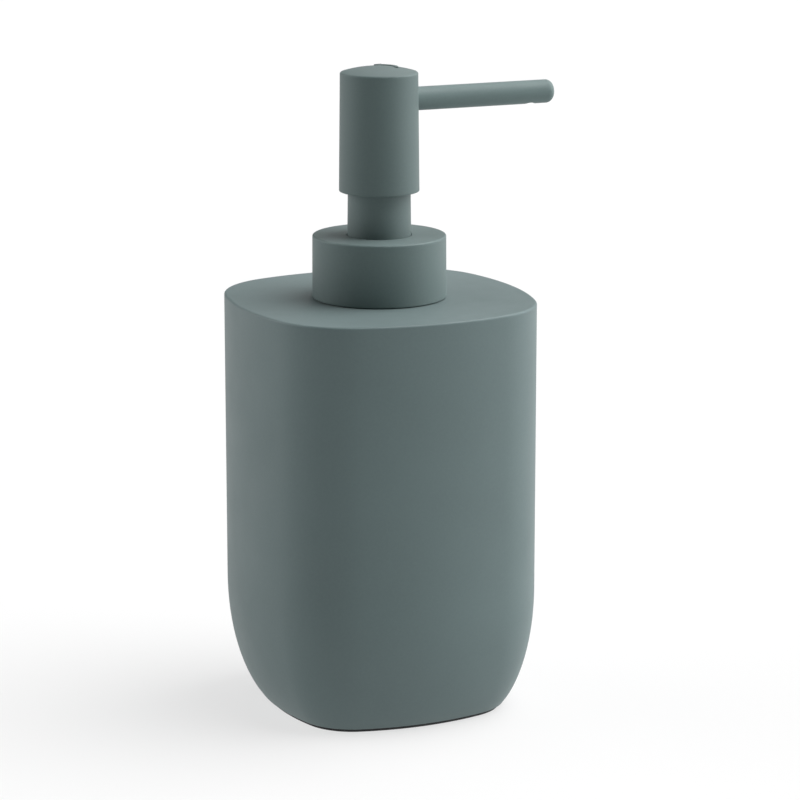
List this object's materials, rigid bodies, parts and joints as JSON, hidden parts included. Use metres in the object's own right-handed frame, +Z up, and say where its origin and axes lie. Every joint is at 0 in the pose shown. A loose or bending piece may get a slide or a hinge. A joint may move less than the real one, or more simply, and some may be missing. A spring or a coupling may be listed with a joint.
{
  "type": "soap pump dispenser",
  "caption": "Rounded-square soap bottle in matt grey green with a screwed-on press pump, round collar and straight side nozzle.",
  "frame": {"origin": "on the pump's axis, at the surface that the dispenser stands on", "axes": "+Z up along the pump's axis, +X along the nozzle at rest, square to two sides of the bottle"},
  "size_m": [0.0913, 0.08, 0.1756],
  "materials": {
    "soft_touch_resin": "cast resin with a matt soft-touch coat, grey green",
    "soft_touch_shell": "thin metal shell with the same matt soft-touch coat",
    "neck_plastic": "moulded polypropylene, dark grey",
    "cap_plastic": "moulded polypropylene, light grey",
    "clear_white_plastic": "natural polypropylene, slightly milky",
    "tube_plastic": "extruded polyethylene, milky",
    "seal_plastic": "soft polyethylene",
    "gasket_foam": "closed-cell foam",
    "pad_foam": "thin dark foam sheet",
    "ball_steel": "polished stainless steel",
    "spring_steel": "drawn stainless steel wire"
  },
  "bodies": {
    "bottle": {"bottle_body": "soft_touch_resin", "neck_insert": "neck_plastic", "base_pad": "pad_foam"},
    "pump": {"neck_gasket": "gasket_foam", "pump_housing": "clear_white_plastic", "inner_gasket": "gasket_foam", "chaplet": "cap_plastic", "chimney_sleeve": "soft_touch_shell", "ball_cage": "clear_white_plastic", "dip_tube": "tube_plastic", "return_spring": "spring_steel"},
    "collar": {"collar_shell": "soft_touch_shell", "screw_cap": "cap_plastic"},
    "ball": {"inlet_ball": "ball_steel"},
    "plunger": {"upper_stem": "clear_white_plastic", "piston_stem": "clear_white_plastic"},
    "seal": {"piston_seal": "seal_plastic"},
    "head": {"head_shell": "soft_touch_shell", "head_core": "cap_plastic", "nozzle_tube": "soft_touch_shell"}
  },
  "joints": [
    {"name": "pump_lift", "type": "slide", "parent": "bottle", "child": "pump", "axis": [0, 0, 1], "range_m": [0, 0.00636]},
    {"name": "collar_turn", "type": "hinge", "parent": "pump", "child": "collar", "pos_m": [0, 0, 0.1217], "axis": [0, 0, 1], "range_deg": [0, 540]},
    {"name": "press_stroke", "type": "slide", "parent": "pump", "child": "plunger", "axis": [0, 0, 1], "range_m": [-0.011, 0], "stiffness_N_per_m": 250, "springref_m": 0.012, "deforming": ["return_spring"]},
    {"name": "head_swivel", "type": "hinge", "parent": "plunger", "child": "head", "pos_m": [0, 0, 0.1632], "axis": [0, 0, 1], "continuous": true},
    {"name": "seal_shift", "type": "slide", "parent": "plunger", "child": "seal", "axis": [0, 0, 1], "range_m": [0, 0.00115]},
    {"name": "ball_lift", "type": "slide", "parent": "pump", "child": "ball", "axis": [0, 0, 1], "range_m": [0, 0.0015]}
  ],
  "couplings": [
    {"joint": "pump_lift", "follows": "collar_turn", "m_per_rad": 0.0006737}
  ]
}
